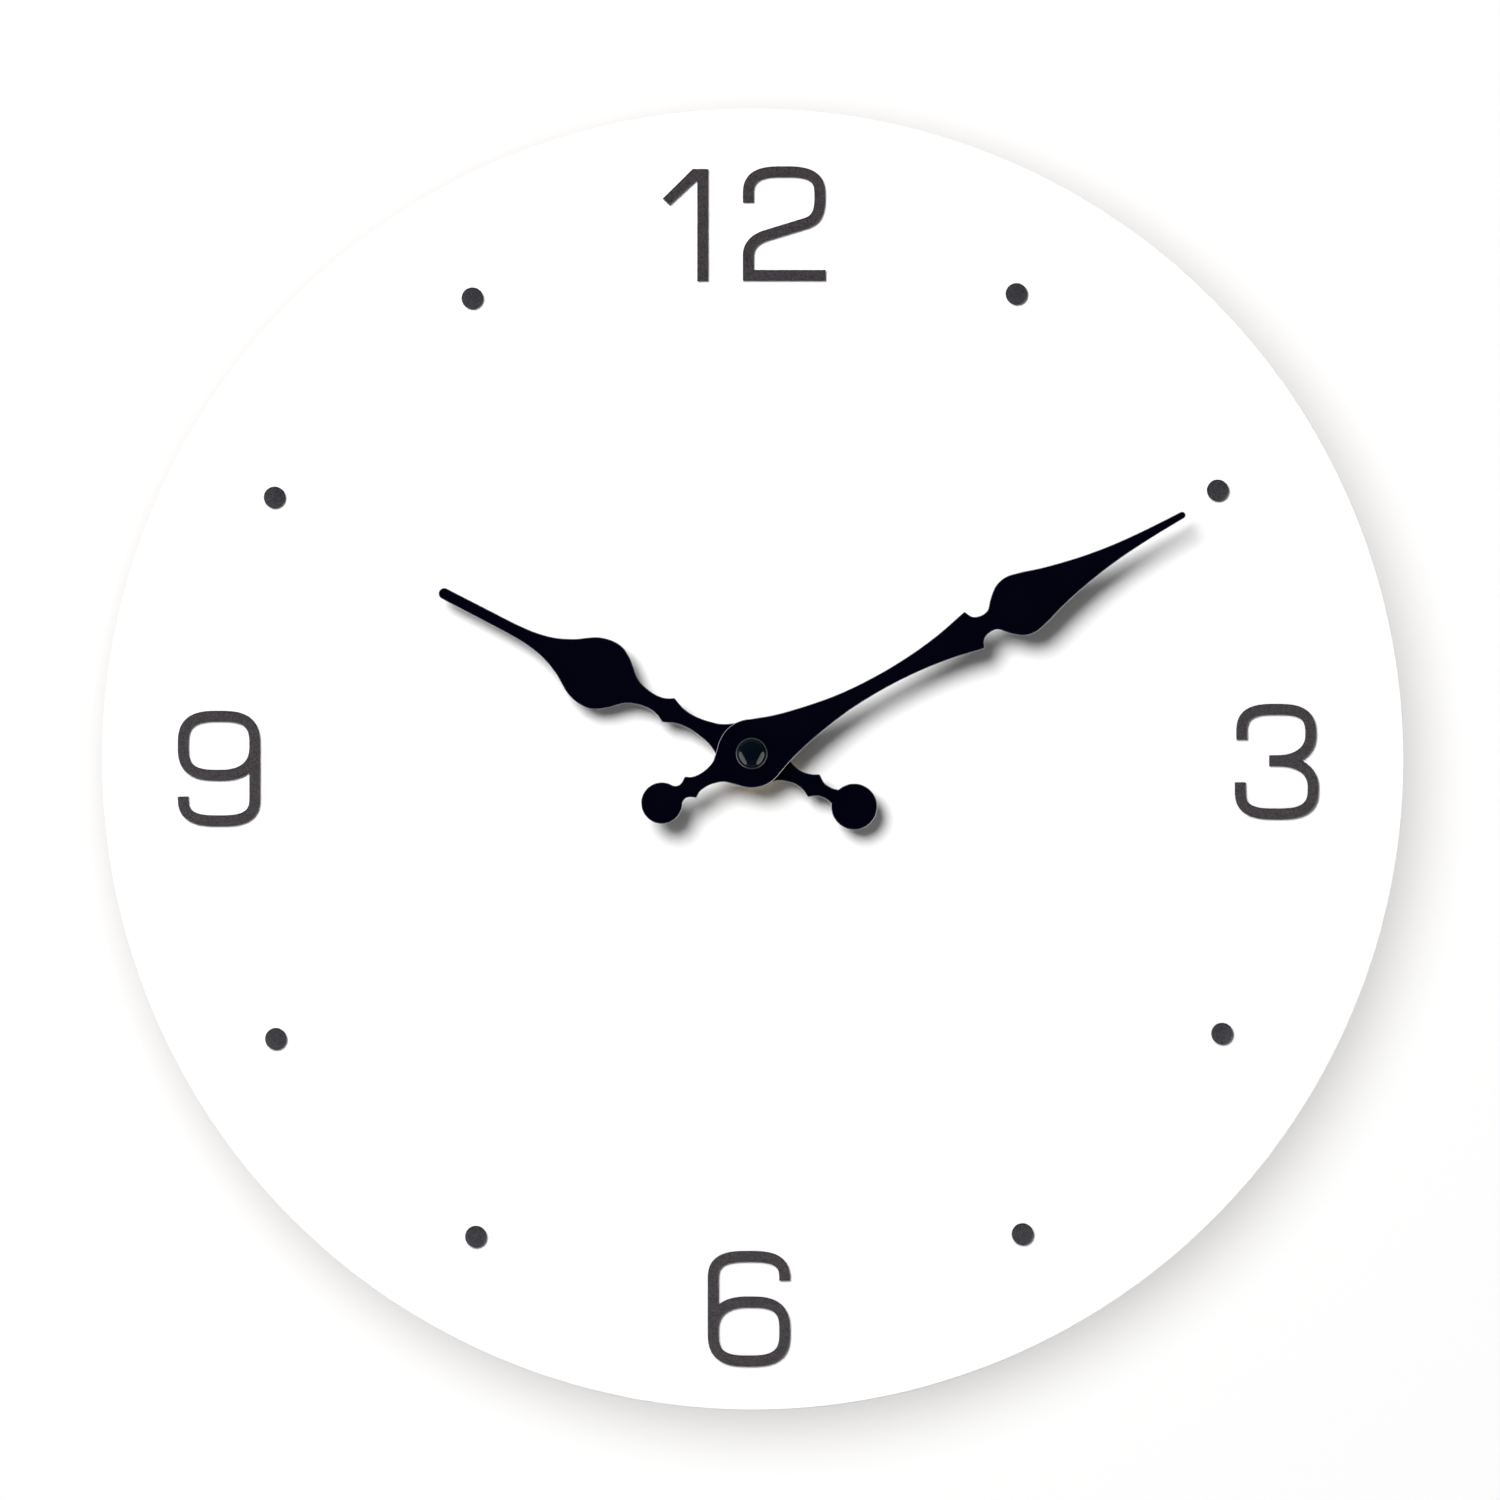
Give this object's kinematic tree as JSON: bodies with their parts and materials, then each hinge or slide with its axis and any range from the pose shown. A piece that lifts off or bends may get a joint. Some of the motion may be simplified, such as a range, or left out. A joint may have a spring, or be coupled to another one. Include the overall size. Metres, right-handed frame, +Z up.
{
  "type": "wall clock",
  "caption": "Round frameless wall clock: white disc dial, raised charcoal numerals and dots, black spade hands, and a battery quartz movement with its gear train behind.",
  "frame": {"origin": "where the arbor's axis meets the wall plane, on the flat back of the movement", "axes": "+Z up; the dial faces -Y; +Y points into the wall; +X is to the right seen from the front"},
  "size_m": [0.3, 0.0344, 0.3],
  "materials": {
    "board_paint": "satin white paint on fibreboard",
    "face_white": "smooth white sheet",
    "charcoal_plastic": "charcoal, lightly textured",
    "dot_plastic": "near-black, matt",
    "black_lacquer": "black lacquer on thin sheet",
    "black_enamel": "glossy black",
    "brass": "turned",
    "black_rubber": "matt",
    "case_plastic": "moulded black, fine texture",
    "cover_plastic": "moulded black, fine texture",
    "plate_plastic": "moulded grey",
    "wheel_plastic": "moulded ivory acetal",
    "red_plastic": "moulded red acetal",
    "spring_steel": "punched sheet",
    "bracket_zinc": "zinc-plated sheet",
    "nickel": "nickel plate",
    "cell_wrapper": "printed-free wrapper",
    "board_laminate": "green solder mask",
    "chip_resin": "black resin",
    "bobbin_plastic": "natural nylon",
    "copper_wire": "enamelled copper wire",
    "magnet": "sintered ferrite"
  },
  "bodies": {
    "clock": {"dial_board": "board_paint", "dial_face_sheet": "face_white", "numeral_12_one": "charcoal_plastic", "numeral_12_two": "charcoal_plastic", "numeral_3": "charcoal_plastic", "numeral_6": "charcoal_plastic", "numeral_9": "charcoal_plastic", "hour_dot_01": "dot_plastic", "hour_dot_02": "dot_plastic", "hour_dot_04": "dot_plastic", "hour_dot_05": "dot_plastic", "hour_dot_07": "dot_plastic", "hour_dot_08": "dot_plastic", "hour_dot_10": "dot_plastic", "hour_dot_11": "dot_plastic", "arbor_hex_nut": "brass", "arbor_washer": "brass", "dial_gasket": "black_rubber", "threaded_bush": "brass", "movement_front_case": "case_plastic", "movement_rear_cover": "cover_plastic", "middle_plate": "plate_plastic", "hanger_bracket": "bracket_zinc", "battery_contact_negative": "nickel", "battery_contact_positive": "nickel", "circuit_board": "board_laminate", "chip_resin": "chip_resin", "quartz_crystal": "nickel", "coil_core": "spring_steel", "coil_bobbin": "bobbin_plastic", "coil_winding": "copper_wire", "stator_plate": "spring_steel"},
    "minute": {"minute_hand": "black_lacquer", "minute_hand_collet": "brass", "cap_nut": "black_enamel", "minute_pipe": "brass", "centre_wheel": "wheel_plastic"},
    "hour": {"hour_hand": "black_lacquer", "hour_hand_collet": "brass", "hour_wheel": "wheel_plastic"},
    "motion": {"motion_wheel": "wheel_plastic"},
    "knob": {"setting_knob": "red_plastic"},
    "third": {"third_wheel": "wheel_plastic"},
    "seconds": {"seconds_wheel": "red_plastic", "seconds_arbor": "spring_steel"},
    "step": {"step_wheel": "wheel_plastic"},
    "rotor": {"rotor_pinion": "bobbin_plastic", "rotor_magnet": "magnet"},
    "battery": {"battery_cell": "cell_wrapper"}
  },
  "joints": [
    {"name": "minute_turn", "type": "hinge", "parent": "clock", "child": "minute", "pos_m": [0, 0, 0], "axis": [0, 1, 0], "continuous": true},
    {"name": "hour_turn", "type": "hinge", "parent": "clock", "child": "hour", "pos_m": [0, 0, 0], "axis": [0, 1, 0], "continuous": true},
    {"name": "motion_turn", "type": "hinge", "parent": "clock", "child": "motion", "pos_m": [0, 0, 0.0096], "axis": [0, 1, 0], "continuous": true},
    {"name": "knob_turn", "type": "hinge", "parent": "clock", "child": "knob", "pos_m": [0.00679, 0, 0.01639], "axis": [0, 1, 0], "continuous": true},
    {"name": "third_turn", "type": "hinge", "parent": "clock", "child": "third", "pos_m": [-0.00883, 0, 0.0051], "axis": [0, 1, 0], "continuous": true},
    {"name": "seconds_turn", "type": "hinge", "parent": "clock", "child": "seconds", "pos_m": [0, 0, 0], "axis": [0, 1, 0], "continuous": true},
    {"name": "step_turn", "type": "hinge", "parent": "clock", "child": "step", "pos_m": [-0.00827, 0, 0.00146], "axis": [0, 1, 0], "continuous": true},
    {"name": "rotor_turn", "type": "hinge", "parent": "clock", "child": "rotor", "pos_m": [-0.01617, 0, -0.00141], "axis": [0, 1, 0], "continuous": true},
    {"name": "battery_slide", "type": "slide", "parent": "clock", "child": "battery", "axis": [0, 1, 0], "range_m": [0, 0.02]}
  ],
  "couplings": [
    {"joint": "hour_turn", "follows": "minute_turn", "ratio": 0.083333},
    {"joint": "motion_turn", "follows": "minute_turn", "ratio": -0.33333},
    {"joint": "knob_turn", "follows": "minute_turn", "ratio": 1},
    {"joint": "third_turn", "follows": "minute_turn", "ratio": -8},
    {"joint": "seconds_turn", "follows": "minute_turn", "ratio": 60},
    {"joint": "step_turn", "follows": "minute_turn", "ratio": -300},
    {"joint": "rotor_turn", "follows": "minute_turn", "ratio": 1800}
  ]
}
